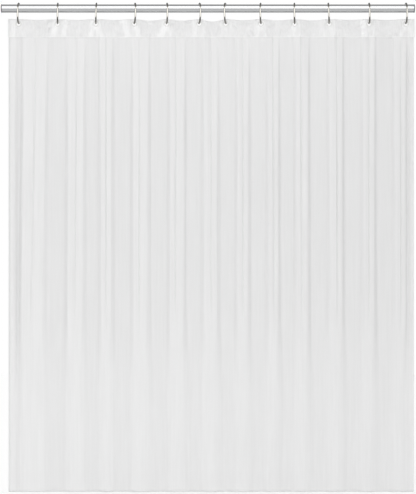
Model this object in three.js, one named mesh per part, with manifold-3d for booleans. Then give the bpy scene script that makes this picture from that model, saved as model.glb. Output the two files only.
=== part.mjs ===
// A shower curtain: a frosted liner with a welded header band, hung by twelve eyelets on twelve
// open wire hooks from a plain chromed rod.
// Millimetres. +X runs along the rod to the right, +Y points away from the person in front of the
// curtain, +Z is up. The origin is the middle of the rod's left end face.
import * as THREE from 'three';
import { mergeVertices } from 'three/addons/utils/BufferGeometryUtils.js';
import Module from 'manifold-3d';

const wasm = await Module();
wasm.setup();

// ---------------------------------------------------------------- driving dimensions

// rod
const ROD_DIAMETER = 31.75;
const ROD_WALL = 1.2;
const ROD_SPARE_LEFT = 25.9; // bare rod left of the curtain
const ROD_SPARE_RIGHT = 0.5; // bare rod right of the curtain
const FOOT_FLANGE = 4; // thickness of an end foot outside the tube
const FOOT_PLUG = 25; // length of an end foot inside the tube

// curtain, as it lies flat
const CURTAIN_WIDTH = 1829;
const CURTAIN_HEIGHT = 1829;
const FILM = 0.6;
const HEADER_HEIGHT = 69.5;
const HEADER_OVERHANG = 2.5; // how far the header reaches past the sheet at each side
const HEADER_LIP = 2; // how far the header reaches above the sheet
const END_MARGIN = 41; // from the curtain's side edge to its first eyelet

// how the curtain hangs: the share of its flat width that each stretch still spans, from the
// left margin over the eleven bays between eyelets to the right margin
const HUNG_SHARES = [1, 0.95, 0.93, 0.938, 0.786, 0.792, 0.648, 0.855, 0.823, 0.837, 0.974, 0.896, 0.81];

// eyelets
const EYELET_HOLE = 12; // diameter of the hole
const EYELET_WALL = 1.5; // of the barrel that passes through the film
const EYELET_RIM = 3.5; // how far the flanges reach beyond the barrel
const EYELET_FLANGE_THICKNESS = 1.2;
const EYELET_DROP = 18.4; // hole's centre below the header's top edge

// hooks
const WIRE = 6;
const HOOK_BEND_ROOM = 1.125; // between the rod's surface and the inside of a hook's top bend
const HOOK_SIDE_BULGE = 3; // how far each side bows out beyond the end bends' radius
const HOOK_DROP = 39; // free height inside the hook below the rod
const HOOK_BACK_ARM = 8; // how far the back arm reaches down past the rod's middle
const HOOK_MOUTH_ROOM = 1; // how much wider than the rod the opening at the back is

// how each hook hangs: turned about the vertical, and leaning along the rod, in degrees
const HOOK_YAWS = [-3, 4, 3, 11, 8, 11, -11, -7, -5, -3, 1, 4];
const HOOK_LEANS = [-0.7, -0.7, -1.9, -1.9, -1.1, -1.1, 1.3, 0.7, 0.8, 2.4, 0.2, -0.1];

// clearances
const GAP = 0.3; // between two pieces that lie on each other
const HANG_GAP = 0.6; // between the rod's top and the inside of a hook
const EYELET_HANG_GAP = 0.9; // between a hook's wire and the top of its eyelet's hole

// facets
const ROD_SIDES = 32;
const WIRE_SIDES = 8;
const HOOK_STEPS = 28;
const TIP_RINGS = 6;
const EYELET_SIDES = 16;
const BAY_STEPS = 8;

// ---------------------------------------------------------------- derived sizes

const rodRadius = ROD_DIAMETER / 2;
const wireRadius = WIRE / 2;

// the wire's centre line is an oval of four arcs: two end bends and two flatter side arcs
const bendRadius = rodRadius + HOOK_BEND_ROOM + wireRadius;
const ovalHalfWidth = bendRadius + HOOK_SIDE_BULGE;
const hookHeight = ROD_DIAMETER + HOOK_DROP + 2 * WIRE;
const bendOffset = (hookHeight - WIRE) / 2 - bendRadius; // of an end bend's centre from the middle
const sideRadius = (ovalHalfWidth ** 2 + bendOffset ** 2 - bendRadius ** 2) / (2 * HOOK_SIDE_BULGE);
const sideOffset = sideRadius - ovalHalfWidth; // of a side arc's centre beyond the middle
const sideAngle = Math.atan2(bendOffset, sideOffset); // at which a side arc meets an end bend
const ovalMiddleZ = rodRadius + HANG_GAP + wireRadius - bendRadius - bendOffset;
const footBendZ = ovalMiddleZ - bendOffset;
const hookFootZ = footBendZ - bendRadius;
const backArmEndZ = -HOOK_BACK_ARM;
const footTipZ = backArmEndZ - (ROD_DIAMETER + HOOK_MOUTH_ROOM + WIRE);

const barrelRadius = EYELET_HOLE / 2 + EYELET_WALL;
const flangeRadius = barrelRadius + EYELET_RIM;
const eyeletZ = hookFootZ + wireRadius + EYELET_HANG_GAP - EYELET_HOLE / 2;
const curtainTopZ = eyeletZ + EYELET_DROP;
const curtainBottomZ = curtainTopZ - CURTAIN_HEIGHT;

const hookCount = HOOK_YAWS.length;
const flatPitch = (CURTAIN_WIDTH - 2 * END_MARGIN) / (hookCount - 1);
const flatLengths = HUNG_SHARES.map((_, k) => (k === 0 || k === hookCount ? END_MARGIN : flatPitch));
const hungWidths = HUNG_SHARES.map((share, k) => share * flatLengths[k]);
const tabHalf = flangeRadius + 1; // the film is pressed flat this far either side of an eyelet
const eyeletXs = [];
for (let k = 0, x = ROD_SPARE_LEFT; k < hookCount; k += 1) {
  x += hungWidths[k];
  eyeletXs.push(x);
}
const curtainRightX = eyeletXs[hookCount - 1] + hungWidths[hookCount];
const rodLength = curtainRightX + ROD_SPARE_RIGHT;

// ---------------------------------------------------------------- finishes

function finish(color, roughness, metalness) {
  return new THREE.MeshStandardMaterial({ color, roughness, metalness });
}

const chrome = finish('#c9cbcc', 0.12, 1);
const frostedFilm = finish('#e8e8e7', 0.55, 0);
const headerFilm = finish('#efefee', 0.5, 0);
const whitePlastic = finish('#f7f7f5', 0.35, 0);
const greyRubber = finish('#8d8f90', 0.7, 0);

// ---------------------------------------------------------------- solids

// One vertex for each place and no collapsed triangle, so that the surface is closed.
function welded(geometry) {
  geometry.deleteAttribute('normal');
  geometry.deleteAttribute('uv');
  const merged = mergeVertices(geometry);
  const corners = merged.index.array;
  const kept = [];
  for (let k = 0; k < corners.length; k += 3) {
    const [a, b, c] = corners.slice(k, k + 3);
    if (a !== b && b !== c && c !== a) kept.push(a, b, c);
  }
  merged.setIndex(kept);
  return merged;
}

function solid(geometry) {
  const closed = welded(geometry);
  return new wasm.Manifold(
    new wasm.Mesh({
      numProp: 3,
      vertProperties: new Float32Array(closed.attributes.position.array),
      triVerts: new Uint32Array(closed.index.array),
    }),
  );
}

function geometryOf(body) {
  const mesh = body.getMesh();
  const geometry = new THREE.BufferGeometry();
  geometry.setAttribute('position', new THREE.Float32BufferAttribute(mesh.vertProperties, 3));
  geometry.setIndex(Array.from(mesh.triVerts));
  return geometry;
}

function named(name, geometry, material) {
  const mesh = new THREE.Mesh(geometry, material);
  mesh.name = name;
  return mesh;
}

// A turned solid about the Y axis from [radius, height] pairs, listed with the material on the left.
function turned(profile, sides) {
  const points = profile.map(([radius, height]) => new THREE.Vector2(radius, height));
  return new THREE.LatheGeometry(points, sides);
}

// ---------------------------------------------------------------- rod

function rodTube() {
  const inner = rodRadius - ROD_WALL;
  const start = FOOT_FLANGE + GAP;
  const end = rodLength - FOOT_FLANGE - GAP;
  const tube = turned(
    [[inner, start], [rodRadius, start], [rodRadius, end], [inner, end], [inner, start]],
    ROD_SIDES,
  );
  tube.rotateZ(-Math.PI / 2);
  return named('rod_tube', welded(tube), chrome);
}

// A moulded foot: a flange as wide as the rod and a plug that sits inside the tube.
function rodEndFoot(side) {
  const plugRadius = rodRadius - ROD_WALL - GAP;
  const plugEnd = FOOT_FLANGE + GAP + FOOT_PLUG;
  const foot = turned(
    [[0, 0], [rodRadius, 0], [rodRadius, FOOT_FLANGE], [plugRadius, FOOT_FLANGE], [plugRadius, plugEnd], [0, plugEnd]],
    ROD_SIDES,
  );
  foot.rotateZ(-Math.PI / 2);
  const mesh = named(`rod_end_foot_${side}`, welded(foot), greyRubber);
  if (side === 'right') {
    mesh.rotation.z = Math.PI;
    mesh.position.x = rodLength;
  }
  return mesh;
}

// ---------------------------------------------------------------- curtain

// Length of a bow of the given depth over a span: a full wave that leaves and ends level.
function bowLength(span, depth) {
  const pieces = 64;
  let length = 0;
  for (let k = 0; k < pieces; k += 1) {
    const rise = (depth / 2) * (Math.cos((2 * Math.PI * k) / pieces) - Math.cos((2 * Math.PI * (k + 1)) / pieces));
    length += Math.hypot(span / pieces, rise);
  }
  return length;
}

// Depth at which a bow over the span takes up the film's flat length.
function bowDepth(span, flatLength) {
  let low = 0;
  let high = flatLength;
  for (let k = 0; k < 40; k += 1) {
    const middle = (low + high) / 2;
    if (bowLength(span, middle) < flatLength) low = middle;
    else high = middle;
  }
  return low;
}

// The curtain from above: flat at each eyelet, bowed away from the front between them.
function curtainLine(startX, endX) {
  const line = [new THREE.Vector2(startX, 0)];
  eyeletXs.forEach((eyeletX, k) => {
    line.push(new THREE.Vector2(eyeletX - tabHalf, 0), new THREE.Vector2(eyeletX + tabHalf, 0));
    if (k === hookCount - 1) return;
    const span = hungWidths[k + 1] - 2 * tabHalf;
    const depth = bowDepth(span, flatPitch - 2 * tabHalf);
    for (let step = 1; step < BAY_STEPS; step += 1) {
      const share = step / BAY_STEPS;
      const y = (depth / 2) * (1 - Math.cos(2 * Math.PI * share));
      line.push(new THREE.Vector2(eyeletX + tabHalf + share * span, y));
    }
  });
  // the right margin curls away by half a bow
  const lastTab = eyeletXs[hookCount - 1] + tabHalf;
  const span = endX - lastTab;
  const depth = bowDepth(2 * span, 2 * (END_MARGIN - tabHalf));
  const marginSteps = BAY_STEPS / 2;
  for (let step = 1; step <= marginSteps; step += 1) {
    const share = step / marginSteps;
    line.push(new THREE.Vector2(lastTab + share * span, (depth / 2) * (1 - Math.cos(Math.PI * share))));
  }
  return line;
}

// The same line moved sideways, away from the front for a positive distance.
function beside(line, distance) {
  return line.map((point, k) => {
    const before = line[Math.max(k - 1, 0)];
    const after = line[Math.min(k + 1, line.length - 1)];
    const along = after.clone().sub(before).normalize();
    return new THREE.Vector2(point.x - along.y * distance, point.y + along.x * distance);
  });
}

// A layer of film that follows the line, between two distances from it, with a hole at each eyelet.
function filmLayer(line, near, far, bottomZ, topZ) {
  const outline = [...beside(line, near), ...beside(line, far).reverse()];
  const layer = new THREE.ExtrudeGeometry(new THREE.Shape(outline), {
    depth: topZ - bottomZ,
    bevelEnabled: false,
  });
  layer.translate(0, 0, bottomZ);
  let body = solid(layer);
  const holeRadius = barrelRadius + GAP;
  const holeDepth = 10 * FILM;
  for (const eyeletX of eyeletXs) {
    const hole = new THREE.CylinderGeometry(holeRadius, holeRadius, holeDepth, EYELET_SIDES);
    hole.translate(eyeletX, 0, eyeletZ);
    body = body.subtract(solid(hole));
  }
  return geometryOf(body);
}

function curtainSheet() {
  const line = curtainLine(ROD_SPARE_LEFT + HEADER_OVERHANG, curtainRightX - HEADER_OVERHANG);
  const geometry = filmLayer(line, GAP / 2, GAP / 2 + FILM, curtainBottomZ, curtainTopZ - HEADER_LIP);
  return named('curtain_sheet', geometry, frostedFilm);
}

function headerBand() {
  const line = curtainLine(ROD_SPARE_LEFT, curtainRightX);
  const geometry = filmLayer(line, -GAP / 2 - FILM, -GAP / 2, curtainTopZ - HEADER_HEIGHT, curtainTopZ);
  return named('header_band', geometry, headerFilm);
}

// A moulded eyelet: a barrel through both layers of film with a flange on each face.
function eyelet(number, eyeletX) {
  const hole = EYELET_HOLE / 2;
  const groove = GAP / 2 + FILM + GAP;
  const face = groove + EYELET_FLANGE_THICKNESS;
  const profile = [
    [hole, -face], [flangeRadius, -face], [flangeRadius, -groove], [barrelRadius, -groove],
    [barrelRadius, groove], [flangeRadius, groove], [flangeRadius, face], [hole, face], [hole, -face],
  ];
  const mesh = named(`eyelet_${number}`, welded(turned(profile, EYELET_SIDES)), whitePlastic);
  mesh.position.set(eyeletX, 0, eyeletZ);
  return mesh;
}

// ---------------------------------------------------------------- hooks

// The oval that the wire follows in its own Y-Z plane, as arcs with their centre, radius and angles.
// It starts where the back side arc meets the top bend, and runs over the top, down the front,
// under the foot and up the back.
const bendTurn = Math.PI - 2 * sideAngle;
const ovalArcs = [
  { y: 0, z: ovalMiddleZ + bendOffset, radius: bendRadius, start: sideAngle, turn: bendTurn },
  { y: sideOffset, z: ovalMiddleZ, radius: sideRadius, start: Math.PI - sideAngle, turn: 2 * sideAngle },
  { y: 0, z: ovalMiddleZ - bendOffset, radius: bendRadius, start: Math.PI + sideAngle, turn: bendTurn },
  { y: -sideOffset, z: ovalMiddleZ, radius: sideRadius, start: -sideAngle, turn: 2 * sideAngle },
];
const ovalLength = ovalArcs.reduce((sum, arc) => sum + arc.radius * arc.turn, 0);

// The distance along the oval to an angle on one of its arcs.
function distanceTo(index, angle) {
  const before = ovalArcs.slice(0, index).reduce((sum, arc) => sum + arc.radius * arc.turn, 0);
  return before + ovalArcs[index].radius * (angle - ovalArcs[index].start);
}

const backArmAngle = Math.asin((backArmEndZ - ovalMiddleZ) / sideRadius);
const footTipAngle = 2 * Math.PI - Math.asin((footBendZ - footTipZ) / bendRadius);
const wireStart = distanceTo(3, backArmAngle) - ovalLength; // behind the oval's start, so negative
const wireEnd = distanceTo(2, footTipAngle);

// A stretch of that oval, between two distances along it.
class OvalPath extends THREE.Curve {
  constructor(from, to) {
    super();
    this.from = from;
    this.to = to;
  }

  getPoint(share, target = new THREE.Vector3()) {
    let left = (this.from + share * (this.to - this.from) + ovalLength) % ovalLength;
    let arc = ovalArcs[0];
    for (arc of ovalArcs) {
      if (left <= arc.radius * arc.turn) break;
      left -= arc.radius * arc.turn;
    }
    const angle = arc.start + left / arc.radius;
    return target.set(0, arc.y + arc.radius * Math.cos(angle), arc.z + arc.radius * Math.sin(angle));
  }
}

// One bent wire, open behind the rod, with both its ends rounded.
function hookWire() {
  const section = new THREE.Shape();
  for (let k = 0; k < WIRE_SIDES; k += 1) {
    const angle = (2 * Math.PI * (k + 0.5)) / WIRE_SIDES;
    const x = wireRadius * Math.cos(angle);
    const y = wireRadius * Math.sin(angle);
    if (k === 0) section.moveTo(x, y);
    else section.lineTo(x, y);
  }
  const path = new OvalPath(wireStart, wireEnd);
  const bent = new THREE.ExtrudeGeometry(section, {
    steps: HOOK_STEPS,
    extrudePath: path,
    bevelEnabled: false,
  });
  let body = solid(bent);
  for (const share of [0, 1]) {
    const tip = new THREE.SphereGeometry(wireRadius, WIRE_SIDES, TIP_RINGS);
    tip.translate(...path.getPoint(share).toArray());
    body = body.add(solid(tip));
  }
  return geometryOf(body);
}

// A hook, turned and leaning as it hangs, with its foot in its eyelet.
function hungHook(number, k) {
  const lean = THREE.MathUtils.degToRad(HOOK_LEANS[k]);
  const leaning = new THREE.Group();
  leaning.position.x = eyeletXs[k] + hookFootZ * Math.sin(lean);
  leaning.rotation.y = -lean;
  const hook = named(`hook_${number}`, hookWire(), chrome);
  hook.rotation.z = THREE.MathUtils.degToRad(HOOK_YAWS[k]);
  leaning.add(hook);
  return leaning;
}

// ---------------------------------------------------------------- assembly

const showerCurtain = new THREE.Group();
showerCurtain.add(rodTube(), rodEndFoot('left'), rodEndFoot('right'));
showerCurtain.add(curtainSheet(), headerBand());
eyeletXs.forEach((eyeletX, k) => {
  const number = String(k + 1).padStart(2, '0');
  showerCurtain.add(hungHook(number, k), eyelet(number, eyeletX));
});

export default showerCurtain;
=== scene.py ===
# %% [markdown]
# # A frosted shower curtain on wire hooks
#
# The real object is a liner of thin frosted plastic film with a second strip of film welded along its
# top. Twelve white eyelets go through both layers, each eyelet hangs on an open wire hook, and the
# hooks ride on a polished rod. The CAD frame already holds every size, place and joint. This lesson
# makes the surfaces that the eye sees: rounded metal, moulded eyelets and a film with real folds.

# %% Load the frame
import math

import bmesh
import bpy
import numpy as np
from mathutils import Matrix, Vector


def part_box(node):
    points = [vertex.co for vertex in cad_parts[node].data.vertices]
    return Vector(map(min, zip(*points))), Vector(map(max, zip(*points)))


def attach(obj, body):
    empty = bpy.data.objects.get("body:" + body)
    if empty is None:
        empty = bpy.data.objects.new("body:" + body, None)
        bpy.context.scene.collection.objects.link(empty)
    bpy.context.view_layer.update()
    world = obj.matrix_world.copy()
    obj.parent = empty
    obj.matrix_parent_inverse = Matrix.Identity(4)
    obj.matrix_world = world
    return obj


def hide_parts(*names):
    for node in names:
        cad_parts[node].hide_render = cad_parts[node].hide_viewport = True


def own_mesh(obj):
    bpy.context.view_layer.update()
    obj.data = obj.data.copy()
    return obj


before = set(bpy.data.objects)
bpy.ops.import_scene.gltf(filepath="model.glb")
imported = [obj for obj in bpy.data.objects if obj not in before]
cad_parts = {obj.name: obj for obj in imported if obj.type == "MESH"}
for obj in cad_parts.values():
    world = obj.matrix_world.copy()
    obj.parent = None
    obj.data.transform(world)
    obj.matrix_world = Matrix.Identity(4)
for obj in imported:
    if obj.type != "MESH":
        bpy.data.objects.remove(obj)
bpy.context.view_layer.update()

# %% [markdown]
# ## Places from the frame
#
# A piece that replaces a CAD node has to sit where that node sits, so its place is read from the
# node's box. Each hook hangs a little turned and a little aslant, which a box can't tell. Its plane
# is found from the points of its mesh: they spread least along the direction square to the plane,
# and a singular value decomposition sorts the directions by spread.

# %% Read the places
MM = 0.001
NUMBERS = [f"{n:02d}" for n in range(1, 13)]

rod_low, rod_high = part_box("rod_tube")
rod_radius = (rod_high.z - rod_low.z) / 2
header_low, header_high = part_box("header_band")
sheet_low, sheet_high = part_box("curtain_sheet")
eyelet_places = []
for number in NUMBERS:
    low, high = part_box(f"eyelet_{number}")
    eyelet_places.append((low + high) / 2)
eyelet_xs = [place.x for place in eyelet_places]
eyelet_z = eyelet_places[0].z
print("rod radius", round(rod_radius, 4), "eyelets at height", round(eyelet_z, 4))


# %% [markdown]
# ## Camera, floor and light
#
# The curtain is seen straight from the front, from a little over five metres, through a long lens
# that keeps the folds upright. The view is as tall as the curtain and the rod with a hair's
# breadth round them. A product like this is shot in a white room: white all round gives an even
# film, and a weak key light from the left gives the folds their shape. Metal shows nothing but what
# it mirrors, so soft boxes stand where the rod and the hooks should mirror a light band. A box meant
# for one kind of piece is linked to those pieces later, once they are made, and lights nothing else.

# %% Set up the camera
VIEW_HEIGHT = 1.9103  # metres of the curtain's plane that the view spans
VIEW_CENTRE = Vector((0.7993, 0, -0.9222))
LENS = 100.0
SENSOR = 36.0

camera_data = bpy.data.cameras.new("front_camera")
camera_data.lens = LENS
camera_data.sensor_width = SENSOR
camera = bpy.data.objects.new("front_camera", camera_data)
bpy.context.scene.collection.objects.link(camera)
camera.location = VIEW_CENTRE + Vector((0, -VIEW_HEIGHT * LENS / SENSOR, 0))
camera.rotation_euler = (math.pi / 2, 0, 0)
bpy.context.scene.camera = camera
bpy.context.scene.view_settings.view_transform = "Standard"
print("camera stands", round(-camera.location.y, 3), "m in front")


# %% [markdown]
# One small function adds a node to a material with its settings and its links, and one turns the
# colours of a colour picker, which are sRGB, into the linear numbers that light is counted in.

# %% Node and colour helpers
def linear(hex_colour):
    """An sRGB colour such as #c0c0c0 as linear red, green, blue and alpha."""
    channels = [int(hex_colour[k : k + 2], 16) / 255 for k in (1, 3, 5)]
    bent = [c / 12.92 if c <= 0.04045 else ((c + 0.055) / 1.055) ** 2.4 for c in channels]
    return (*bent, 1.0)


def add_node(tree, kind, inputs=None, **settings):
    """Add a node, set its properties, and give each input a value or a socket to link from."""
    node = tree.nodes.new(kind)
    for name, value in settings.items():
        setattr(node, name, value)
    for name, value in (inputs or {}).items():
        if isinstance(value, bpy.types.NodeSocket):
            tree.links.new(value, node.inputs[name])
        else:
            node.inputs[name].default_value = value
    return node


def new_material(name):
    """An empty node material, and its tree to add nodes to."""
    material = bpy.data.materials.new(name)
    material.use_nodes = True
    material.node_tree.nodes.clear()
    return material, material.node_tree


print("mid grey #808080 in linear numbers", round(linear("#808080")[0], 3))


# %% [markdown]
# The room is a white world. The camera and the film see it at full strength. The plating mirrors it
# darker, as if black cards stood in the room, so that the soft boxes stand out in the metal.

# %% Paint the room white
ROOM_WHITE = 1.0  # what the camera sees behind the curtain, and what lights the film
ROOM_IN_METAL = 0.58  # the same room where the plating mirrors it


def white_room():
    """A white world that is greyer in a mirror image."""
    world = bpy.data.worlds.new("white_room")
    world.use_nodes = True
    tree = world.node_tree
    tree.nodes.clear()
    ray = add_node(tree, "ShaderNodeLightPath")
    strength = add_node(tree, "ShaderNodeMapRange",
                        {"Value": ray.outputs["Is Glossy Ray"], "To Min": ROOM_WHITE,
                         "To Max": ROOM_IN_METAL})
    white = add_node(tree, "ShaderNodeBackground",
                     {"Color": linear("#ffffff"), "Strength": strength.outputs[0]})
    add_node(tree, "ShaderNodeOutputWorld", {"Surface": white.outputs[0]})
    return world


bpy.context.scene.world = white_room()
print("world", bpy.context.scene.world.name)


# %% [markdown]
# The floor is one large face under the hem.

# %% Lay the floor
FLOOR_HALF = 6.0
FLOOR_DROP = 0.11  # the hem of a liner ends about a hand's breadth above the floor


def pale_floor():
    """A plain white floor under the hem, which the metal doesn't mirror."""
    bm = bmesh.new()
    bmesh.ops.create_grid(bm, x_segments=1, y_segments=1, size=FLOOR_HALF)
    floor_z = sheet_low.z - FLOOR_DROP
    bmesh.ops.translate(bm, verts=bm.verts, vec=(VIEW_CENTRE.x, 0, floor_z))
    mesh = bpy.data.meshes.new("floor")
    bm.to_mesh(mesh)
    bm.free()
    floor = bpy.data.objects.new("floor", mesh)
    bpy.context.scene.collection.objects.link(floor)
    floor.visible_glossy = False
    material, tree = new_material("pale_floor_paint")
    paint = add_node(tree, "ShaderNodeBsdfPrincipled",
                     {"Base Color": linear("#ffffff"), "Roughness": 0.9, "Specular IOR Level": 0.1})
    add_node(tree, "ShaderNodeOutputMaterial", {"Surface": paint.outputs[0]})
    mesh.materials.append(material)
    print("floor at height", round(floor_z, 3))


pale_floor()


# %% [markdown]
# A soft box is a rectangular lamp. It is placed by the point that it lights: how far to the left and
# how high it stands as seen from there, and how far away. For a round rod that tells where the
# light band lies, because each height on the rod mirrors one height of the room. The lamps that
# are there for the film don't show in the metal at all.

# %% Hang the soft boxes
def soft_box(name, target, elevation, distance, width, height, power, azimuth=0):
    """A rectangular lamp that faces a point and that the camera doesn't see. The elevation and the
    azimuth, to the left of straight in front, are in degrees, the sizes in metres."""
    lamp = bpy.data.lights.new(name, "AREA")
    lamp.shape = "RECTANGLE"
    lamp.size = width
    lamp.size_y = height
    lamp.energy = power
    box = bpy.data.objects.new(name, lamp)
    bpy.context.scene.collection.objects.link(box)
    left = math.radians(azimuth)
    up = math.radians(elevation)
    towards = Vector((-math.sin(left) * math.cos(up), -math.cos(left) * math.cos(up), math.sin(up)))
    box.location = Vector(target) + towards * distance
    box.rotation_euler = (-towards).to_track_quat("-Z", "Y").to_euler()
    box.visible_camera = False
    return box


HEM_BOX_LIFT = 0.1  # how far above the hem its box stands
rod_middle = Vector((VIEW_CENTRE.x, 0, 0))
header_middle = Vector((VIEW_CENTRE.x, 0, header_low.z))
hem_middle = Vector((VIEW_CENTRE.x, 0, sheet_low.z + HEM_BOX_LIFT))

# a tall box gives the upper face of the rod its white band, and a strip far below the lower band
rod_box = soft_box("rod_soft_box", rod_middle, elevation=23, distance=2.6, width=6, height=3.0,
                   power=100)
rod_strip = soft_box("rod_strip_box", rod_middle, elevation=-54, distance=1.5, width=3.1,
                     height=1.0, power=4.5)
# the box of the hooks is so wide that each hook mirrors it, whichever way it is turned
hook_box = soft_box("hook_soft_box", rod_middle, elevation=13, distance=2.6, width=12, height=3.0,
                    power=540)
# the film has its key light, and a long, narrow bar each for the header and the hem
key_box = soft_box("key_soft_box", VIEW_CENTRE, elevation=-4, distance=4.6, width=1.2, height=1.2,
                   power=68, azimuth=8)
header_box = soft_box("header_soft_box", header_middle, elevation=30, distance=0.8, width=2.4,
                      height=0.2, power=2.0)
hem_box = soft_box("hem_soft_box", hem_middle, elevation=0, distance=0.8, width=2.4, height=0.2,
                   power=1.2)
for box in (key_box, header_box, hem_box):
    box.visible_glossy = False
lights = (rod_box, rod_strip, hook_box, key_box, header_box, hem_box)
print("lights", [light.name for light in lights])


# %% [markdown]
# ## Finishes
#
# ** Bright plate.** The rod is steel with chrome plate on it, and the hooks have the same chrome
# plate. The hooks' plate is given a darker and a little warm base colour, which is painted shade.
# Plate mirrors its surroundings and has hardly any colour of its own. Polishing leaves faint
# hairlines along the metal, which show as a slight change of gloss and not as lines.

# %% Bright plate
POLISH_GRAIN = 0.8 * MM  # ten times the real spacing of the hairlines, which is too fine to show
POLISH_RUN = 40 * MM  # how far one hairline runs along the metal
GLOSS_CHANGE = 0.1  # how much the hairlines change the roughness, up and down


def bright_plate(name, colour, roughness):
    """Polished plate, with the gloss a little uneven along hairlines that run in X."""
    material, tree = new_material(name)
    place = add_node(tree, "ShaderNodeTexCoord")
    stretch = add_node(tree, "ShaderNodeMapping",
                       {"Vector": place.outputs["Object"],
                        "Scale": (1 / POLISH_RUN, 1 / POLISH_GRAIN, 1 / POLISH_GRAIN)})
    hairlines = add_node(tree, "ShaderNodeTexNoise",
                         {"Vector": stretch.outputs[0], "Scale": 1.0, "Detail": 3.0})
    gloss = add_node(tree, "ShaderNodeMapRange",
                     {"Value": hairlines.outputs[0], "To Min": roughness * (1 - GLOSS_CHANGE),
                      "To Max": roughness * (1 + GLOSS_CHANGE)})
    plate = add_node(tree, "ShaderNodeBsdfPrincipled",
                     {"Base Color": linear(colour), "Metallic": 1.0,
                      "Roughness": gloss.outputs[0]})
    add_node(tree, "ShaderNodeOutputMaterial", {"Surface": plate.outputs[0]})
    return material


rod_chrome = bright_plate("chrome_plate_rod", "#c4c5c6", roughness=0.08)
# the hooks are the same chrome as the rod, with shade painted into a darker base colour
hook_chrome_painted_dark = bright_plate("chrome_wire_painted_dark", "#807e79", roughness=0.1)
print("metal", rod_chrome.name, hook_chrome_painted_dark.name)


# %% [markdown]
# **Moulded plastic and rubber.** The eyelets are white polypropylene from a smooth mould, with a
# satin skin. The feet in the ends of the rod are grey rubber, which is dull and a little grainy.

# %% Moulded plastic and rubber
MOULD_GRAIN = 1.2 * MM  # both grains are drawn coarser than the real ones, which are too fine to show
RUBBER_GRAIN = 0.8 * MM


def moulded(name, colour, roughness, grain, height):
    """A moulded surface with a fine grain of the given size and height, in metres."""
    material, tree = new_material(name)
    place = add_node(tree, "ShaderNodeTexCoord")
    spots = add_node(tree, "ShaderNodeTexNoise",
                     {"Vector": place.outputs["Object"], "Scale": 1 / grain, "Detail": 4.0})
    skin = add_node(tree, "ShaderNodeBump",
                    {"Height": spots.outputs[0], "Strength": 0.4, "Distance": height})
    body = add_node(tree, "ShaderNodeBsdfPrincipled",
                    {"Base Color": linear(colour), "Roughness": roughness,
                     "IOR": 1.49, "Normal": skin.outputs[0]})
    add_node(tree, "ShaderNodeOutputMaterial", {"Surface": body.outputs[0]})
    return material


eyelet_plastic = moulded("white_polypropylene", "#cececd", roughness=0.5, grain=MOULD_GRAIN,
                         height=0.03 * MM)
foot_rubber = moulded("grey_rubber", "#5f6163", roughness=0.75, grain=RUBBER_GRAIN, height=0.1 * MM)
print("mouldings", eyelet_plastic.name, foot_rubber.name)


# %% [markdown]
# ** Frosted film.** The curtain is a thin vinyl-free plastic film with a frosted, matt face. It
# scatters the light that falls on its front and also passes on some of the light from behind, so it
# is a mix of an ordinary surface and a translucent one. Rolling and folding leave fine streaks down
# its length. They are drawn as shallow relief on the film's own map, whose unit is one metre of flat
# film, so they stay with the film when it is drawn aside. A narrow band along each edge of the film,
# the welded ones too, is painted a little lighter than the film: painted light that evens out the
# shade at the edges. Beside each eyelet the header is painted whiter, a painted highlight, and so are
# the raised pleats of the sheet, less towards the right, which leaves painted shade on the fields
# between them. How much light is painted is kept as a number at each point of the mesh.

# %% Frosted film
STREAK_SPACING = 9 * MM  # drawn coarser than the real 2 mm, so that the streaks show from afar
SHEET_RUN = 260 * MM  # how far one streak runs down the sheet
HEADER_RUN = 24 * MM  # and down the header, which is creased in every direction
STREAK_HEIGHT = 0.7 * MM
SHEET_TINT = 0.035  # how much darker the thinnest frosting of the sheet looks
HEADER_TINT = 0.08  # and of the header
PAINTED_LIGHT_TINT = 0.07  # how much whiter the film is painted where light is painted on it
# width of the band along each edge of the film, welded ones too, that is painted a little lighter:
# painted light that evens out the shade at the edges
SEAM_AND_EDGE_LIGHT_WIDTH = 3.5 * MM
FILM_LET_THROUGH = 0.45  # share of the film that passes light on from behind


def edge_band(tree, across, low, high, width):
    """1 within a narrow band inside either end of a range of one coordinate, 0 elsewhere."""
    from_low = add_node(tree, "ShaderNodeMath", {0: across, 1: low}, operation="SUBTRACT")
    to_high = add_node(tree, "ShaderNodeMath", {0: high, 1: across}, operation="SUBTRACT")
    nearest = add_node(tree, "ShaderNodeMath", {0: from_low.outputs[0], 1: to_high.outputs[0]},
                       operation="MINIMUM")
    return add_node(tree, "ShaderNodeMath", {0: nearest.outputs[0], 1: width},
                    operation="LESS_THAN").outputs[0]


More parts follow.
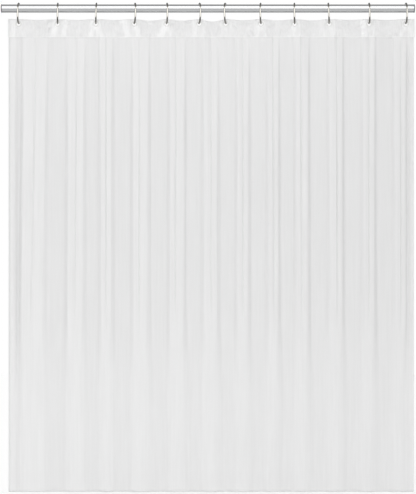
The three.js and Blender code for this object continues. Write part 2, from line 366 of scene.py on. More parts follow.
def film(name, colour, seam_and_edge_light_colour, through_colour, flat, run, streak_tint):
    """Frosted film of a flat width and length, mapped in metres from its top left corner. The
    through_colour is for the light that comes from behind."""
    width, length = flat
    material, tree = new_material(name)
    place = add_node(tree, "ShaderNodeUVMap", uv_map="flat")
    sides = add_node(tree, "ShaderNodeSeparateXYZ", {0: place.outputs[0]})
    # a band along each edge of the flat film is painted a little lighter: painted light against the shade
    # at the edges
    edge_light_u = edge_band(tree, sides.outputs[0], 0.0, width, SEAM_AND_EDGE_LIGHT_WIDTH)
    seam_and_edge_light_v = edge_band(tree, sides.outputs[1], 0.0, length, SEAM_AND_EDGE_LIGHT_WIDTH)
    seam_and_edge_light = add_node(tree, "ShaderNodeMath", {0: edge_light_u, 1: seam_and_edge_light_v}, operation="MAXIMUM")
    stretch = add_node(tree, "ShaderNodeMapping",
                       {"Vector": place.outputs[0],
                        "Scale": (1 / STREAK_SPACING, 1 / run, 1)})
    streaks = add_node(tree, "ShaderNodeTexNoise",
                       {"Vector": stretch.outputs[0], "Scale": 1.0, "Detail": 5.0,
                        "Roughness": 0.6})
    relief = add_node(tree, "ShaderNodeBump",
                      {"Height": streaks.outputs[0], "Strength": 0.5, "Distance": STREAK_HEIGHT})
    cloudy = add_node(tree, "ShaderNodeMapRange",
                      {"Value": streaks.outputs[0], "From Min": 0.3, "From Max": 0.7,
                       "To Min": 1 - streak_tint, "To Max": 1.0})
    # painted light: the tabs beside the eyelets and the raised pleats are painted whiter
    painted_light = add_node(tree, "ShaderNodeAttribute", attribute_name="painted_light")
    whiter = add_node(tree, "ShaderNodeMath",
                      {0: painted_light.outputs["Fac"], 1: PAINTED_LIGHT_TINT, 2: cloudy.outputs[0]},
                      operation="MULTIPLY_ADD")
    frost = add_node(tree, "ShaderNodeMix",
                     {"Factor": 1.0, "A": linear(colour), "B": whiter.outputs[0]},
                     data_type="RGBA", blend_type="MULTIPLY")
    inside = add_node(tree, "ShaderNodeMix",
                      {"Factor": 1.0, "A": linear(through_colour), "B": whiter.outputs[0]},
                      data_type="RGBA", blend_type="MULTIPLY")
    tint = add_node(tree, "ShaderNodeMix",
                    {"Factor": seam_and_edge_light.outputs[0], "A": frost.outputs["Result"],
                     "B": linear(seam_and_edge_light_colour)}, data_type="RGBA")
    face = add_node(tree, "ShaderNodeBsdfPrincipled",
                    {"Base Color": tint.outputs["Result"], "Roughness": 0.5, "IOR": 1.5,
                     "Specular IOR Level": 0.35, "Normal": relief.outputs[0]})
    through = add_node(tree, "ShaderNodeBsdfTranslucent",
                       {"Color": inside.outputs["Result"], "Normal": relief.outputs[0]})
    mixed = add_node(tree, "ShaderNodeMixShader",
                     {"Fac": FILM_LET_THROUGH, 1: face.outputs[0], 2: through.outputs[0]})
    add_node(tree, "ShaderNodeOutputMaterial", {"Surface": mixed.outputs[0]})
    return material


print("share of the film that lets light through", FILM_LET_THROUGH)


# %% [markdown]
# ## Turned pieces
#
# A tube, an end foot and an eyelet are all round about an axis, so each is half a section spun once
# about its axis. The corners of the section are rounded a little before the spin, because no real
# edge is perfectly sharp, and a rounded edge catches a line of light.

# %% Spin a section
ROD_STEPS = 96
EYELET_STEPS = 48
SHARP_ANGLE = math.radians(40)  # faces that meet at more than this keep a sharp edge
MERGE = 1e-6  # points nearer than this are one point


def finished_piece(name, bm, material, body, slot_name, *nodes):
    """A placed piece made from a bmesh."""
    mesh = bpy.data.meshes.new(name)
    bm.to_mesh(mesh)
    bm.free()
    return placed_piece(name, mesh, material, body, slot_name, *nodes)


def placed_piece(name, mesh, material, body, slot_name, *nodes):
    """The mesh as an object that rides on a body and stands for its CAD nodes."""
    mesh.polygons.foreach_set("use_smooth", [True] * len(mesh.polygons))
    mesh.set_sharp_from_angle(angle=SHARP_ANGLE)
    mesh.materials.clear()
    mesh.materials.append(material)
    piece = bpy.data.objects.new(name, mesh)
    bpy.context.scene.collection.objects.link(piece)
    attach(piece, body)
    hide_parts(*nodes)
    return piece


def spun(section, round_at, radius, steps, closed):
    """A section in the X-Y plane, spun about the X axis, with the corners in round_at rounded.
    A closed section is a ring of points, and an open one starts and ends on the axis."""
    bm = bmesh.new()
    corners = [bm.verts.new((x, y, 0)) for x, y in section]
    ends = corners[1:] + (corners[:1] if closed else [])
    for a, b in zip(corners, ends):
        bm.edges.new((a, b))
    bmesh.ops.bevel(bm, geom=[corners[k] for k in round_at], offset=radius, offset_type="OFFSET",
                    segments=3, profile=0.5, affect="VERTICES", material=-1)
    bmesh.ops.spin(bm, geom=bm.verts[:] + bm.edges[:], cent=(0, 0, 0), axis=(1, 0, 0),
                   angle=2 * math.pi, steps=steps, use_merge=True)
    bmesh.ops.remove_doubles(bm, verts=bm.verts, dist=MERGE)
    bmesh.ops.recalc_face_normals(bm, faces=bm.faces)
    return bm


print("steps round the rod", ROD_STEPS, "and round an eyelet", EYELET_STEPS)


# %% [markdown]
# ## The rod and its feet
#
# The rod is a plain tube: a rectangular section away from the axis, spun into a ring. Each foot has
# a flange as wide as the rod and a plug inside it, so its section starts and ends on the axis.

# %% Make the rod and its feet
ROD_WALL = 1.2 * MM
FOOT_GAP = 0.3 * MM  # between a foot and the tube, at the tube's end and inside it
ROD_EDGE = 0.3 * MM
FOOT_EDGE = 0.5 * MM


def make_rod():
    """The tube, with all four corners of its wall rounded."""
    inner = rod_radius - ROD_WALL
    section = [(rod_low.x, inner), (rod_low.x, rod_radius), (rod_high.x, rod_radius),
               (rod_high.x, inner)]
    bm = spun(section, range(4), ROD_EDGE, ROD_STEPS, closed=True)
    return finished_piece("rod", bm, rod_chrome, "rod", "chrome", "rod_tube")


def make_foot(side):
    """The foot at the left or the right end of the rod."""
    low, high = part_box(f"rod_end_foot_{side}")
    outside, inside = (low.x, high.x) if side == "left" else (high.x, low.x)
    inward = 1 if side == "left" else -1
    flange = abs((rod_low.x if side == "left" else rod_high.x) - outside) - FOOT_GAP
    shoulder = outside + inward * flange
    plug = rod_radius - ROD_WALL - FOOT_GAP
    section = [(outside, 0), (outside, rod_radius), (shoulder, rod_radius), (shoulder, plug),
               (inside, plug), (inside, 0)]
    bm = spun(section, (1, 2, 4), FOOT_EDGE, ROD_STEPS, closed=False)
    node = f"rod_end_foot_{side}"
    return finished_piece(f"foot_{side}", bm, foot_rubber, "rod", "grey_rubber", node)


rod = make_rod()
feet = [make_foot(side) for side in ("left", "right")]
print("rod", len(rod.data.polygons), "faces; feet", [len(foot.data.polygons) for foot in feet])


# %% [markdown]
# ## The hooks
#
# Each hook is one bent wire. Its line follows an oval of four arcs: a tight bend at the top that
# fits over the rod, one at the foot, and two flat arcs at the sides. The back side is left open, just
# wide enough to let the rod in. A circle is spun about each arc's centre in turn, so the wire keeps
# its thickness all the way, and each end is drawn in to a round tip. All twelve are the same, so
# one is made in a plane of its own and copied to the twelve places.

# %% Find the hooks' places
WIRE = 6 * MM
SIDE_BULGE = 3 * MM  # the side arcs bow out this far beyond the end bends
BEND_ROOM = 1.125 * MM  # from the rod's surface to the inside of the top bend
HANG_GAP = 0.6 * MM  # from the top of the rod to the wire above it
MOUTH_ROOM = 1 * MM  # how much wider than the rod the opening is
BACK_ARM = 8 * MM  # how far the back arm's end lies below the middle of the rod


def hook_frame(number, eyelet_place):
    """The matrix from a hook's own plane to its place: X square to the hook, Z up along it."""
    mesh = bpy.data.objects[f"hook_{number}"].data
    points = np.array([vert.co for vert in mesh.vertices])
    _spread, _size, directions = np.linalg.svd(points - points.mean(axis=0), full_matrices=False)
    across = Vector(directions[2])
    across *= math.copysign(1, across.x)
    up = Vector((-across.z, 0, across.x)).normalized()
    back = up.cross(across)
    turn = Matrix((across, back, up)).transposed()
    foot = points[:, 2].min() + WIRE / 2
    origin = Vector((eyelet_place.x - foot * up.x / up.z, 0, 0))
    return Matrix.Translation(origin) @ turn.to_4x4()


hook_frames = [hook_frame(number, place) for number, place in zip(NUMBERS, eyelet_places)]
foot_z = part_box("hook_12")[0].z + WIRE / 2
bend_radius = rod_radius + BEND_ROOM + WIRE / 2
half_width = bend_radius + SIDE_BULGE
top_z = rod_radius + HANG_GAP + WIRE / 2
bend_offset = (top_z - foot_z) / 2 - bend_radius
side_radius = (half_width**2 + bend_offset**2 - bend_radius**2) / (2 * SIDE_BULGE)
side_offset = side_radius - half_width
side_angle = math.atan2(bend_offset, side_offset)
middle_z = (top_z + foot_z) / 2

TOP_BEND = (0, middle_z + bend_offset, bend_radius)
FRONT_SIDE = (side_offset, middle_z, side_radius)
FOOT_BEND = (0, middle_z - bend_offset, bend_radius)
BACK_SIDE = (-side_offset, middle_z, side_radius)
print("hook oval", [round(v * 1000, 1) for v in (bend_radius, half_width, side_radius)], "mm")


# %% [markdown]
# The wire starts as a circle at the end of its back arm and is spun from arc to arc. The geometry
# that one spin ends with is what the next one starts from, so the arcs join without a seam.

# %% Bend a wire along arcs
WIRE_SIDES = 24
WIRE_STEP = math.radians(5)
SIDE_STEPS = 8  # the least number of steps along an arc
TIP_STEPS = 6


def round_tip(bm, edges, centre, along):
    """Draw the open end of a wire in, ring by ring, to a round tip. Centre is the middle of the
    end, and along is the direction that the tip points in."""
    for step in range(1, TIP_STEPS + 1):
        angle = step / TIP_STEPS * math.pi / 2
        before = (step - 1) / TIP_STEPS * math.pi / 2
        drawn = bmesh.ops.extrude_edge_only(bm, edges=edges)["geom"]
        verts = [item for item in drawn if isinstance(item, bmesh.types.BMVert)]
        edges = [item for item in drawn if isinstance(item, bmesh.types.BMEdge)]
        middle = centre + along * WIRE / 2 * math.sin(before)
        onward = along * WIRE / 2 * (math.sin(angle) - math.sin(before))
        for vert in verts:
            vert.co = middle + (vert.co - middle) * math.cos(angle) / math.cos(before) + onward


def bent_wire(stretches):
    """A round wire along arcs, each given as its (y, z, radius) and its start and end angles."""
    bm = bmesh.new()
    (y, z, radius), start, _end = stretches[0]
    bmesh.ops.create_circle(bm, cap_ends=False, radius=WIRE / 2, segments=WIRE_SIDES)
    begin = Matrix.Translation((0, y + radius * math.cos(start), z + radius * math.sin(start)))
    bmesh.ops.transform(bm, matrix=begin @ Matrix.Rotation(start, 4, "X"), verts=bm.verts)
    first_edges = bm.edges[:]
    last = bm.verts[:] + bm.edges[:]
    for (y, z, _radius), start, end in stretches:
        steps = max(SIDE_STEPS, math.ceil((end - start) / WIRE_STEP))
        turned = bmesh.ops.spin(bm, geom=last, cent=(0, y, z), axis=(1, 0, 0),
                                angle=end - start, steps=steps, use_merge=False)
        last = turned["geom_last"]
    last_edges = [item for item in last if isinstance(item, bmesh.types.BMEdge)]
    for edges, (arc, angle, way) in ((first_edges, (stretches[0][0], stretches[0][1], -1)),
                                     (last_edges, (stretches[-1][0], stretches[-1][2], 1))):
        y, z, radius = arc
        centre = Vector((0, y + radius * math.cos(angle), z + radius * math.sin(angle)))
        round_tip(bm, edges, centre, way * Vector((0, -math.sin(angle), math.cos(angle))))
    bmesh.ops.remove_doubles(bm, verts=bm.verts, dist=MERGE)
    bmesh.ops.recalc_face_normals(bm, faces=bm.faces)
    return bm


back_angle = math.asin((-BACK_ARM - middle_z) / side_radius)
tip_z = -BACK_ARM - 2 * rod_radius - MOUTH_ROOM - WIRE
tip_angle = 2 * math.pi - math.asin((FOOT_BEND[1] - tip_z) / bend_radius)
hook_shape = bent_wire([
    (BACK_SIDE, back_angle, side_angle),
    (TOP_BEND, side_angle, math.pi - side_angle),
    (FRONT_SIDE, math.pi - side_angle, math.pi + side_angle),
    (FOOT_BEND, math.pi + side_angle, tip_angle),
])
hook_mesh = bpy.data.meshes.new("hook")
hook_shape.to_mesh(hook_mesh)
hook_shape.free()
print("hook mesh", len(hook_mesh.polygons), "faces")


# %% [markdown]
# The place goes into each copy's mesh and not into its object, so that every object stays at the
# origin, unturned, and a pattern on object coordinates stays where it is.

# %% Place twelve hooks
def copied(mesh, matrix):
    """A copy of the mesh, moved and turned by the matrix."""
    copy = mesh.copy()
    copy.transform(matrix)
    return copy


hooks = [
    placed_piece(f"wire_hook_{number}", copied(hook_mesh, matrix), hook_chrome_painted_dark, f"hook_{number}",
                 "hook_chrome", f"hook_{number}")
    for number, matrix in zip(NUMBERS, hook_frames)
]
for hook in hooks:
    hook.visible_glossy = False  # else the rod mirrors each hook as a dark smudge beside it
print("hooks", len(hooks))


# %% [markdown]
# ## The eyelets
#
# An eyelet is a short moulded barrel with a flange on each face of the film. Its inside edge is
# well rounded, because a hook rubs on it. The section is a closed outline spun about the eyelet's
# own axis, which points away from the viewer.

# %% Make the eyelets
EYELET_HOLE = 6 * MM  # its radius
BARREL_RADIUS = 7.5 * MM
FLANGE_RADIUS = 11 * MM
GROOVE_HALF = 1.05 * MM  # half of the slot between the flanges that holds the film
EYELET_HALF = 2.25 * MM  # half of its thickness
EYELET_EDGE = 0.55 * MM


def make_eyelet_mesh():
    """One eyelet round the origin, with its axis in Y."""
    section = [(-EYELET_HALF, EYELET_HOLE), (-EYELET_HALF, FLANGE_RADIUS),
               (-GROOVE_HALF, FLANGE_RADIUS), (-GROOVE_HALF, BARREL_RADIUS),
               (GROOVE_HALF, BARREL_RADIUS), (GROOVE_HALF, FLANGE_RADIUS),
               (EYELET_HALF, FLANGE_RADIUS), (EYELET_HALF, EYELET_HOLE)]
    bm = spun(section, (0, 1, 6, 7), EYELET_EDGE, EYELET_STEPS, closed=True)
    quarter_turn = Matrix.Rotation(math.pi / 2, 3, "Z")
    bmesh.ops.rotate(bm, verts=bm.verts, cent=(0, 0, 0), matrix=quarter_turn)
    mesh = bpy.data.meshes.new("eyelet")
    bm.to_mesh(mesh)
    bm.free()
    return mesh


eyelet_mesh = make_eyelet_mesh()
eyelets = [
    placed_piece(f"moulded_eyelet_{number}", copied(eyelet_mesh, Matrix.Translation(place)),
                 eyelet_plastic, f"hook_{number}", "white_plastic", f"eyelet_{number}")
    for number, place in zip(NUMBERS, eyelet_places)
]
print("eyelets", len(eyelets), "with", len(eyelet_mesh.polygons), "faces each")


# %% [markdown]
# ## The hanging film
#
# The film is 1.83 m wide but hangs in a width of 1.57 m, so every stretch between two eyelets has
# film to spare. Up in the header the spare film bows away from the viewer. Below it the film
# settles into upright pleats: a raised strip with a thin crease down its middle, and a steep flank
# at each side that grows deeper towards the middle of the drop. Near the hem nothing holds the
# pleats, and they open into soft waves. Each margin of the film comes forward again. This is a
# depth over a plane, so it is worked out for all points at once from a short list of pleats. Cloth
# simulation could make folds too, but not these long, straight, pressed ones.

# %% List the pleats
# For each eyelet: the pleat's middle to the right of the eyelet, its width, how far its crease lies
# from its middle, and how far its foot drifts sideways, all in millimetres.
PLEATS = [
    (61, 96, 3, -16),
    (70, 70, 2, -7),
    (39, 52, 0, 0),
    (24, 68, -4, -2),
    (40, 64, -4, -3),
    (43, 62, 2, 2),
    (66, 52, 0, 0),
    (47, 48, 1, 2),
    (28, 56, -3, 3),
    (25, 60, 5, 3),
    (-2, 54, 0, 2),
    (-23, 52, 3, 2),
]
pleat_middles = [x + offset * MM for x, (offset, *_rest) in zip(eyelet_xs, PLEATS)]
MARGIN_FOLDS = (59 * MM, 1577 * MM)  # outside these the film's two margins come forward again
print("pleat middles", [round(x, 3) for x in pleat_middles])


# %% [markdown]
# Film turns along smooth curves, so every change of depth is smooth too. Four helpers say how: a
# step, a run through several amounts, a hump, and a stretch with soft ends.

# %% Helpers for smooth changes
def ramp(value, start, end):
    """0 before start, 1 after end, and a smooth step between them."""
    t = np.clip((value - start) / (end - start), 0, 1)
    return t * t * (3 - 2 * t)


def follow(value, *stops):
    """A smooth run through (place, amount) stops, in order of place."""
    amount = np.full_like(value, stops[0][1], dtype=float)
    for (place, before), (next_place, after) in zip(stops, stops[1:]):
        amount = amount + (after - before) * ramp(value, place, next_place)
    return amount


def hump(value, middle, half):
    """A smooth hump, 1 at the middle and 0 from half away."""
    t = np.clip(1 - ((value - middle) / half) ** 2, 0, 1)
    return t * t


def within(value, middle, half, blur):
    """1 nearer to the middle than half, and 0 further away, with the change blurred both ways."""
    return 1 - ramp(np.abs(value - middle), half - blur, half + blur)


print("halfway up a step", float(ramp(0.5, 0, 1)), "and halfway down a hump", float(hump(0.5, 0, 1)))


# %% [markdown]
# The header is pressed flat round each eyelet, rises a little at both sides of it, and is crumpled
# between the eyelets. The crumples are small slanted humps and hollows, eleven in each bay. Beside
# each eyelet a slanted tab of the header is painted whiter, a painted highlight. In one bay the sheet
# has dragged into wrinkles below the seam, and faint streaks from folding run down all of it. The
# places and sizes of these marks are drawn from a seeded random generator, so they are the same each
# time.

# %% Draw the marks
CRUMPLES_PER_BAY = 11
WRINKLED_BAY = 1  # counted from 0 at the left
WRINKLES = 12
STREAKS = 150
header_top = header_high.z
seam_z = header_low.z
random_source = np.random.default_rng(41)
# a crumple: its bay, its place along the bay and up the header, its half width and half height, its
# slant and its rise
crumples = [
    (k, random_source.uniform(0.12, 0.88), random_source.uniform(0.0, 1.0),
     random_source.uniform(4, 11) * MM, random_source.uniform(6, 18) * MM,
     random_source.uniform(-0.9, 0.9), random_source.uniform(-4.0, 4.0) * MM)
    for k in range(len(eyelet_xs) - 1) for _ in range(CRUMPLES_PER_BAY)
]
# a tab of painted highlight: its place, its half width, its slant and how much light is painted on it
tabs = [
    (x + side * random_source.uniform(16, 24) * MM, random_source.uniform(7, 13) * MM,
     random_source.uniform(-0.4, 0.4), random_source.uniform(0.3, 1.0))
    for x in eyelet_xs for side in (-1, 1)
]
# a wrinkle: its place across and below the seam, its half width, its slant and its rise
wrinkles = [
    (eyelet_xs[WRINKLED_BAY] + random_source.uniform(12, 70) * MM,
     random_source.uniform(8, 60) * MM, random_source.uniform(2.5, 5) * MM,
     random_source.uniform(-1.4, -0.6), random_source.uniform(0.6, 1.6) * MM)
    for _ in range(WRINKLES)
]
# a streak: its place, its half width, where below the seam it starts, its length and its rise
streaks = [
    (random_source.uniform(sheet_low.x, sheet_high.x), random_source.uniform(2.5, 6) * MM,
     random_source.uniform(0.0, 0.5), random_source.uniform(0.5, 1.25),
     random_source.uniform(-0.7, 0.9) * MM)
    for _ in range(STREAKS)
]
print(len(crumples), "crumples,", len(tabs), "tabs,", len(wrinkles), "wrinkles,", len(streaks), "streaks")


# %% [markdown]
# Twelve eyelets are spread evenly on the flat film, but they hang closer together. What is left over
# between two of them bows back. The depth of a shallow bow follows from its span and the slack in it.

# %% Bow the film between the eyelets
FLAT_WIDTH = 1.829
END_MARGIN = 41 * MM  # flat film outside the first eyelet, and outside the last
flat_pitch = (FLAT_WIDTH - 2 * END_MARGIN) / (len(eyelet_xs) - 1)
EYELET_FLAT = 12 * MM  # the film stays flat this far to each side of an eyelet's middle
BOW_SHARE = 0.5  # of the spare film that bows away; crumples and creases take the rest
BOW_LIMIT = 9 * MM
BOW_FADE = ((0.0, 1.0), (0.38, 0.12), (1.7, 0.0))  # share of the bow left, by metres below the seam


def bows(x, fall):
    """The spare film between eyelets, bowed away in the header and less and less below it."""
    away = np.zeros_like(x)
    for left, right in zip(eyelet_xs, eyelet_xs[1:]):
        span = right - left - 2 * EYELET_FLAT
        slack = flat_pitch - (right - left)
        depth = min(BOW_LIMIT, BOW_SHARE * 2 / math.pi * math.sqrt(span * slack))
        share = np.clip((x - left - EYELET_FLAT) / span, 0, 1)
        away += depth * (1 - np.cos(2 * np.pi * share)) / 2
    return away * follow(fall, *BOW_FADE)


print("eyelets on the flat film every", round(flat_pitch * 1000, 1), "mm")


# %% [markdown]
# The pleats change down the drop, so their measures are runs: the distance from the seam in metres,
# and the measure there in millimetres. They are half the width of a flank, how far the fields lie
# back, and how deep a crease is.

# %% Shape the pleats
FLANK_RUN = ((0.0, 5.0), (0.4, 9.0), (1.05, 10.0), (1.45, 24.0))
DEPTH_RUN = ((-0.03, 0.0), (0.02, 3.0), (0.12, 8.0), (0.38, 11.5), (1.1, 11.5), (1.45, 8.0))
GROOVE_RUN = ((-0.02, 0.0), (0.01, 2.5), (0.5, 3.6), (0.95, 3.0), (1.2, 0.0))
CREASE_HALF = 3.2 * MM


def pleats(x, fall):
    """Fields that lie back, with raised strips between them and a crease down each strip."""
    raised = np.zeros_like(x)
    creased = np.zeros_like(x)
    flank = follow(fall, *FLANK_RUN) * MM
    for middle, (_offset, width, crease, _drift) in zip(pleat_middles, PLEATS):
        left, right = middle - width / 2 * MM, middle + width / 2 * MM
        raised += ramp(x, left - flank, left + flank) - ramp(x, right - flank, right + flank)
        creased += np.clip(1 - np.abs(x - middle - crease * MM) / CREASE_HALF, 0, 1)
    left, right = MARGIN_FOLDS
    raised += 1 - ramp(x, left - flank, left + flank)
    raised += ramp(x, right - flank, right + flank)
    lying_back = follow(fall, *DEPTH_RUN) * MM * (1 - np.minimum(raised, 1))
    return lying_back + follow(fall, *GROOVE_RUN) * MM * creased


print("pleats lie back by up to", max(depth for _fall, depth in DEPTH_RUN), "mm")


# %% [markdown]
# The relief of the header is a sum of humps. It dies away towards each eyelet, whose flanges press
# the film flat, and just below the seam, where the sheet goes on alone.

# %% Crumple the header
BULGE_RISE = 3.0 * MM  # of the bulge at each side of an eyelet
BULGE_PLACE = 19 * MM
BULGE_HALF = 11 * MM
DRAG_DEPTH = 1.5 * MM  # the film under each eyelet is dragged back
DRAG_HALF = 9 * MM
PRESSED_FLAT = 11.5 * MM  # the flange of the eyelet presses the film flat this far out
CRUMPLES_FROM = 20 * MM  # and the crumples have their full depth from here
HEADER_FADE = ((0.0, 1.0), (0.03, 0.0))  # share of the relief left, by metres below the seam


def header_relief(x, z, fall):
    """Bulges beside each eyelet and crumples between the eyelets, in the header."""
    relief = np.zeros_like(x)
    height = (z - seam_z) / (header_top - seam_z)
    for eyelet_x in eyelet_xs:
        for side in (-1, 1):
            relief -= BULGE_RISE * hump(x, eyelet_x + side * BULGE_PLACE, BULGE_HALF)
        relief += DRAG_DEPTH * hump(x, eyelet_x, DRAG_HALF) * (1 - ramp(height, 0.25, 0.45))
    for k, along, up, half_x, half_z, slant, rise in crumples:
        middle_x = eyelet_xs[k] + along * (eyelet_xs[k + 1] - eyelet_xs[k])
        middle_z = seam_z + up * (header_top - seam_z)
        leaning = x - middle_x - slant * (z - middle_z)
        relief += rise * hump(leaning, 0, half_x) * hump(z, middle_z, half_z)
    for eyelet_x in eyelet_xs:
        distance = np.hypot(x - eyelet_x, z - eyelet_z)
        relief = relief * ramp(distance, PRESSED_FLAT, CRUMPLES_FROM)
    return relief * follow(fall, *HEADER_FADE)


print("the highest crumple rises", round(1000 * max(rise for *_rest, rise in crumples), 1), "mm")


# %% Streak and wrinkle the sheet
WRINKLE_REACH = 14 * MM  # how far up and down a wrinkle goes


def film_streaks(x, fall):
    """Faint upright streaks from folding and rolling, and the slanted wrinkles in one bay."""
    relief = np.zeros_like(x)
    for middle, half, start, run, rise in streaks:
        relief += rise * hump(x, middle, half) * hump(fall, start + run / 2, run / 2)
    for middle, down, half, slant, rise in wrinkles:
        leaning = x - middle - slant * (fall - down)
        relief += rise * hump(leaning, 0, half) * hump(fall, down, WRINKLE_REACH)
    return relief


print("the longest streak runs", round(max(run for *_rest, run, _rise in streaks), 2), "m")


# %% [markdown]
# The material paints light on the film: the tabs beside the eyelets are painted whiter, as painted
# highlights, and so are the raised pleats, which leaves painted shade on the fields between them.
# Here the amount is worked out for each point, from the tabs in the header and from the pleats and
# margins below it.

# %% Say where light is painted on the film
TAB_BLUR = 2 * MM
PLEAT_BLUR = 3 * MM
PLEAT_LIGHT_RUN = ((0.0, 0.33), (1.6, 0.16))  # how much light is painted on the pleats, by metres along the rod: less to the right, as if the light fell from the left
SEAM_EDGE = 0.5 * MM  # the seam's own row of points belongs to the header


def painted_light_amount(x, z):
    """How much light is painted on the film: up to 1 on the slanted tabs beside the eyelets of the
    header, and up to a third of that on the raised pleats of the sheet, less towards the right, as if
    the light fell from the left."""
    # clear holds the painted highlights on the slanted tabs beside the eyelets
    clear = np.zeros_like(x)
    for middle, half, slant, share in tabs:
        leaning = x - middle - slant * (z - seam_z)
        clear = np.maximum(clear, share * within(leaning, 0, half, TAB_BLUR))
    # painted light on the raised pleats and margins, which leaves the fields between them in painted
    # shade
    pleat_light = np.zeros_like(x)
    for middle, (_offset, width, _crease, _drift) in zip(pleat_middles, PLEATS):
        pleat_light += within(x, middle, width / 2 * MM, PLEAT_BLUR)
    left, right = MARGIN_FOLDS
    pleat_light += 1 - ramp(x, left - PLEAT_BLUR, left + PLEAT_BLUR)
    pleat_light += ramp(x, right - PLEAT_BLUR, right + PLEAT_BLUR)
    pleat_light = np.minimum(pleat_light, 1) * follow(x, *PLEAT_LIGHT_RUN)
    return np.where(z > seam_z - SEAM_EDGE, clear, pleat_light)


print("the most light painted on a tab", round(max(share for *_rest, share in tabs), 2))


# %% [markdown]
# The last helper puts the shape together. It flattens everything round the eyelets, lets the feet
# of the pleats drift sideways, and lets the top edge sag between the eyelets. The edge sags more
# where two eyelets hang closer together than the film between them is wide.

# %% Put the film's shape together
GRIP_UP = 0.8  # the flat patch round an eyelet is a little taller than it is wide
GRIP_END = 24 * MM  # and the film has its full depth from here
DRIFT_END = 1.2  # metres below the seam where a pleat has drifted all its way
SAG = 2.0 * MM  # of the top edge in a wide bay
SAG_FROM = 0.9  # a bay narrower than this share of the flat pitch sags more
MORE_SAG = 25 * MM  # how much more, for a share that falls short by 1
SAG_ROUND = 1.2  # the power that shapes the sag along the edge
SAG_FADE = 1.5  # and down the header


def film_shape(x, z):
    """Where a point of the film hangs, and how far it lies away from the viewer."""
    fall = seam_z - z
    away = bows(x, fall) + pleats(x, fall) + header_relief(x, z, fall) + film_streaks(x, fall)
    for eyelet_x in eyelet_xs:
        near = np.hypot(x - eyelet_x, (z - eyelet_z) * GRIP_UP)
        away = away * ramp(near, PRESSED_FLAT, GRIP_END)
    drift = np.zeros_like(x)
    for middle, (_offset, width, _crease, foot_drift) in zip(pleat_middles, PLEATS):
        drift += foot_drift * MM * hump(x, middle, width * MM) * ramp(fall, 0.0, DRIFT_END)
    sag = np.zeros_like(x)
    for left, right in zip(eyelet_xs, eyelet_xs[1:]):
        share = np.clip((x - left) / (right - left), 0, 1)
        lowest = SAG + MORE_SAG * max(0.0, SAG_FROM - (right - left) / flat_pitch)
        sag += lowest * np.sin(np.pi * share) ** SAG_ROUND
    height = np.clip((z - seam_z) / (header_top - seam_z), 0, 1)
    return x + drift, away, z - sag * height**SAG_FADE


narrowest = min(right - left for left, right in zip(eyelet_xs, eyelet_xs[1:])) / flat_pitch
print("the narrowest bay is", round(narrowest, 2), "of the flat pitch")


# %% [markdown]
# ## The film's grid
#
# The grid has close lines where the film turns sharply, at the flanks and creases of the pleats and
# round the eyelets, and wide ones on the plain fields. The lines are spread first, and the operator's
# even grid is then moved onto them.

# %% Lay out the grid lines
PLAIN_COLUMN = 9 * MM
PLAIN_ROW = 34 * MM
GROWTH = 0.9  # the spacing may grow to this share of the distance from a feature
ROUND_OFF = 1e-9


def spread(low, high, wide, features):
    """Lines from low to high, wide apart except near features, each (place, reach, spacing)."""
    lines = [low]
    while lines[-1] < high - ROUND_OFF:
        here = lines[-1]
        step = wide
        for place, reach, spacing in features:
            distance = max(0.0, place - reach - here) if here < place else here - place - reach
            if distance <= 0:
                step = min(step, spacing)
            else:
                step = min(step, max(spacing, distance * GROWTH))
        lines.append(min(here + step, high))
    return np.array(lines)


column_features = [(x, 12 * MM, 3 * MM) for x in eyelet_xs]
for middle, (_offset, width, crease, _drift) in zip(pleat_middles, PLEATS):
    for side in (-1, 1):
        column_features.append((middle + side * width / 2 * MM, 6 * MM, 2.2 * MM))
    column_features.append((middle + crease * MM, CREASE_HALF, 1.6 * MM))
for fold_x in MARGIN_FOLDS:
    column_features.append((fold_x, 6 * MM, 2.2 * MM))
row_features = [(-eyelet_z, 12 * MM, 3 * MM), (-seam_z, 4 * MM, 2 * MM),
                (-eyelet_z, 50 * MM, 5 * MM)]
print("features", len(column_features), "across and", len(row_features), "down")


# %% [markdown]
# The two layers share one shape. Each is set off from it along its own normal, one to the front and
# one to the back, so they stay the same distance apart on the steep flanks too. Their map is
# measured along the film, halfway down, and scaled to the flat size.

# %% Make a grid of film
def film_mesh(name, low, high, offset, flat):
    """A shaped grid of film, set off by a distance along its own normal, mapped in flat metres."""
    flat_width, flat_length = flat
    columns = spread(low.x, high.x, PLAIN_COLUMN, column_features)
    rows = -spread(-high.z, -low.z, PLAIN_ROW, row_features)
    bm = bmesh.new()
    bmesh.ops.create_grid(bm, x_segments=len(columns) - 1, y_segments=len(rows) - 1, size=1)
    # the operator lays its vertices row by row, from low to high in both directions
    bm.verts.ensure_lookup_table()
    grid_x, grid_z = np.meshgrid(columns, rows[::-1])
    x, y, z = film_shape(grid_x, grid_z)
    slope = np.gradient(y, axis=1) / np.gradient(x, axis=1)
    steepness = np.sqrt(1 + slope**2)
    x, y = x - slope / steepness * offset, y + offset / steepness
    for vert, px, py, pz in zip(bm.verts, x.ravel(), y.ravel(), z.ravel()):
        vert.co = (px, py, pz)
    halfway = len(rows) // 2
    run = np.concatenate([[0], np.cumsum(np.hypot(np.diff(x[halfway]), np.diff(y[halfway])))])
    flat_u = run / run[-1] * flat_width
    flat_v = (high.z - grid_z) / (high.z - low.z) * flat_length
    # how much light is painted on each point
    painted_light = bm.verts.layers.float.new("painted_light")
    for vert, amount in zip(bm.verts, painted_light_amount(grid_x, grid_z).ravel()):
        vert[painted_light] = amount
    layer = bm.loops.layers.uv.new("flat")
    count = len(columns)
    for face in bm.faces:
        for loop in face.loops:
            row, column = divmod(loop.vert.index, count)
            loop[layer].uv = (flat_u[column], flat_v[row, 0])
    print(name, len(columns), "by", len(rows), "lines;", round(float(run[-1]), 3), "m across halfway")
    return bm


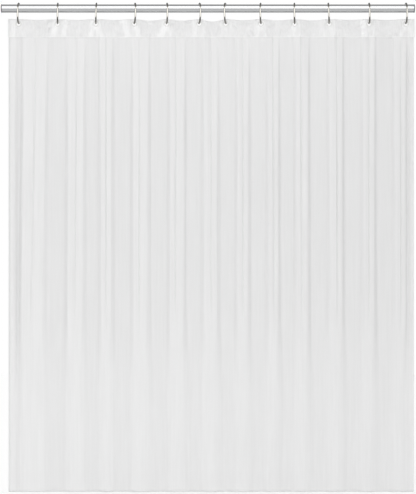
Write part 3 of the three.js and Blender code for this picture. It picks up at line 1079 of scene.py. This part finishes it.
# %% Cut the eyelets' holes
def cut_eyelet_holes(bm, radius):
    """Take the faces inside each eyelet away and draw the edge left onto a circle."""
    for eyelet_x in eyelet_xs:
        inside = [face for face in bm.faces
                  if math.hypot(face.calc_center_median().x - eyelet_x,
                                face.calc_center_median().z - eyelet_z) < radius]
        edge = {vert for face in inside for vert in face.verts}
        bmesh.ops.delete(bm, geom=inside, context="FACES")
        for vert in edge:
            if vert.is_valid:
                out = Vector((vert.co.x - eyelet_x, 0, vert.co.z - eyelet_z))
                vert.co += out.normalized() * (radius - out.length)
    print("holes", len(eyelet_xs), "with a radius of", round(radius * 1000, 1), "mm")


# %% Make the sheet and the header
FILM = 0.3 * MM
LAYER_OFFSET = 0.4 * MM  # of each layer's middle from the plane between the two
HOLE_RADIUS = 8.0 * MM
SHEET_FLAT = (1.824, 1.827)
HEADER_FLAT = (FLAT_WIDTH, 0.0695)

# the edge colours are a little lighter than the film: painted light
sheet_film = film("frosted_film", colour="#e0e0e0", seam_and_edge_light_colour="#e3e3e3",
                  through_colour="#e5e5e5", flat=SHEET_FLAT, run=SHEET_RUN, streak_tint=SHEET_TINT)
header_film = film("frosted_header_film", colour="#efefef", seam_and_edge_light_colour="#f3f3f3",
                   through_colour="#f1f1f1", flat=HEADER_FLAT, run=HEADER_RUN,
                   streak_tint=HEADER_TINT)


def make_film(name, node, low, high, offset, flat, material, slot_name):
    """One layer of film, with its holes, its thickness and its flat size."""
    bm = film_mesh(name, low, high, offset, flat)
    cut_eyelet_holes(bm, HOLE_RADIUS)
    bmesh.ops.recalc_face_normals(bm, faces=bm.faces)
    mesh = bpy.data.meshes.new(name)
    bm.to_mesh(mesh)
    bm.free()
    piece = placed_piece(name, mesh, material, "curtain", slot_name, node)
    mesh.set_sharp_from_angle(angle=math.pi)  # no edge of film is sharp
    thickness = piece.modifiers.new("film_thickness", "SOLIDIFY")
    thickness.thickness = FILM
    thickness.offset = 0
    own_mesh(piece)
    return piece


sheet = make_film("curtain_film", "curtain_sheet", sheet_low, sheet_high, LAYER_OFFSET, SHEET_FLAT,
                  sheet_film, "frosted_film")
header = make_film("header_film_strip", "header_band", header_low, header_high, -LAYER_OFFSET,
                   HEADER_FLAT, header_film, "header_film")
print("film faces", len(sheet.data.polygons), len(header.data.polygons))


# %% [markdown]
# ## Link the boxes to their pieces
#
# The boxes in front of the rod and the hooks would wash out the film. A lamp with a receiver
# collection lights only the pieces in it, so each box is given the pieces that it is meant for.

# %% Link the boxes
def light_only(box, pieces):
    """Let a soft box light these pieces and no others."""
    group = bpy.data.collections.new(f"lit_by_{box.name}")
    for piece in pieces:
        group.objects.link(piece)
    box.light_linking.receiver_collection = group


light_only(rod_box, [rod, *feet])
light_only(rod_strip, [rod])
light_only(hook_box, hooks)
